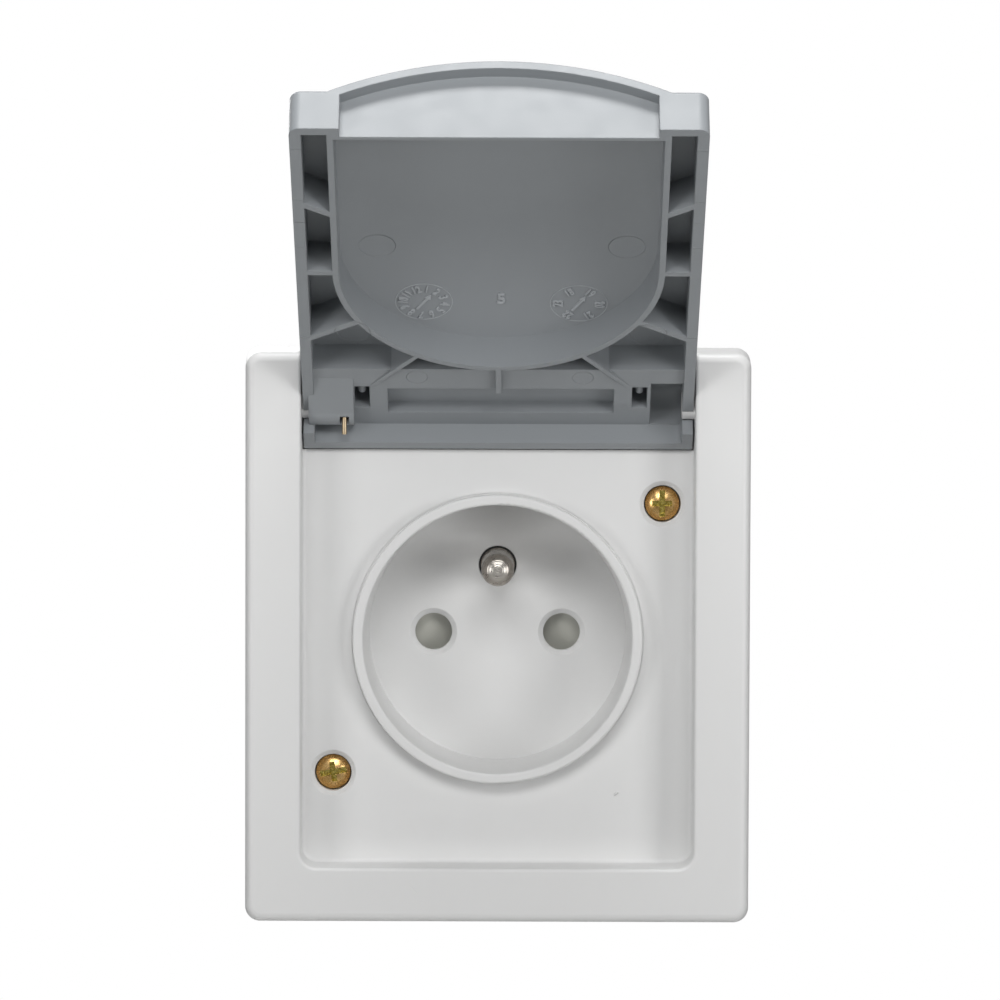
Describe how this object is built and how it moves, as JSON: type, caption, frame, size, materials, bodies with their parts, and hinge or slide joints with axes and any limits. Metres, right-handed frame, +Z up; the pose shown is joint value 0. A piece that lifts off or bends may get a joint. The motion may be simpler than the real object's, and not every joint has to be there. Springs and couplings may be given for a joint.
{
  "type": "outdoor weatherproof socket",
  "caption": "Flush wall socket with an earth pin in a round well, a square cover plate and a domed, hinged weather lid shown swung open.",
  "frame": {"origin": "middle of the well on the wall plane, which is midway between the two screws of the flush box", "axes": "+Z up the wall, +X to the right of someone facing the socket, +Y into the wall"},
  "size_m": [0.0742, 0.0908, 0.1234],
  "materials": {
    "white_plastic": "fine satin moulding, off-white",
    "grey_plastic": "fine satin moulding, mid grey",
    "foam_rubber": "closed-cell foam",
    "seal_rubber": "matt rubber",
    "yellow_screw": "yellow passivated zinc",
    "spring_wire": "drawn wire",
    "nickel_pin": "turned and nickel plated",
    "frame_steel": "zinc plated sheet",
    "housing_plastic": "matt moulding",
    "shutter_plastic": "natural acetal",
    "plated_screw": "zinc plated",
    "contact_brass": "rolled strip"
  },
  "bodies": {
    "base": {"cover_plate": "white_plastic", "socket_front": "white_plastic", "plate_gasket": "foam_rubber", "well_seal": "seal_rubber", "screw_seal_upper": "seal_rubber", "screw_seal_lower": "seal_rubber", "cover_screw_upper": "yellow_screw", "cover_screw_lower": "yellow_screw", "shutter_spring": "spring_wire", "earth_pin": "nickel_pin", "support_frame": "frame_steel", "base_housing": "housing_plastic", "shutter_guide": "housing_plastic", "stack_screw_upper": "plated_screw", "stack_screw_lower": "plated_screw", "live_contact": "contact_brass", "neutral_contact": "contact_brass", "live_terminal": "contact_brass", "neutral_terminal": "contact_brass", "earth_terminal": "contact_brass", "live_terminal_screw": "plated_screw", "neutral_terminal_screw": "plated_screw", "earth_terminal_screw": "plated_screw", "earth_strap": "contact_brass"},
    "lid": {"lid": "grey_plastic", "lid_spring": "spring_wire"},
    "shutter": {"shutter": "shutter_plastic"}
  },
  "joints": [
    {"name": "lid_hinge", "type": "hinge", "parent": "base", "child": "lid", "pos_m": [0, -0.0101, 0.0342], "axis": [1, 0, 0], "range_deg": [0, 127]},
    {"name": "shutter_slide", "type": "slide", "parent": "base", "child": "shutter", "axis": [0, 0, 1], "range_m": [0, 0.0064], "stiffness_N_per_m": 60, "springref_m": -0.004, "deforming": ["shutter_spring"]}
  ]
}
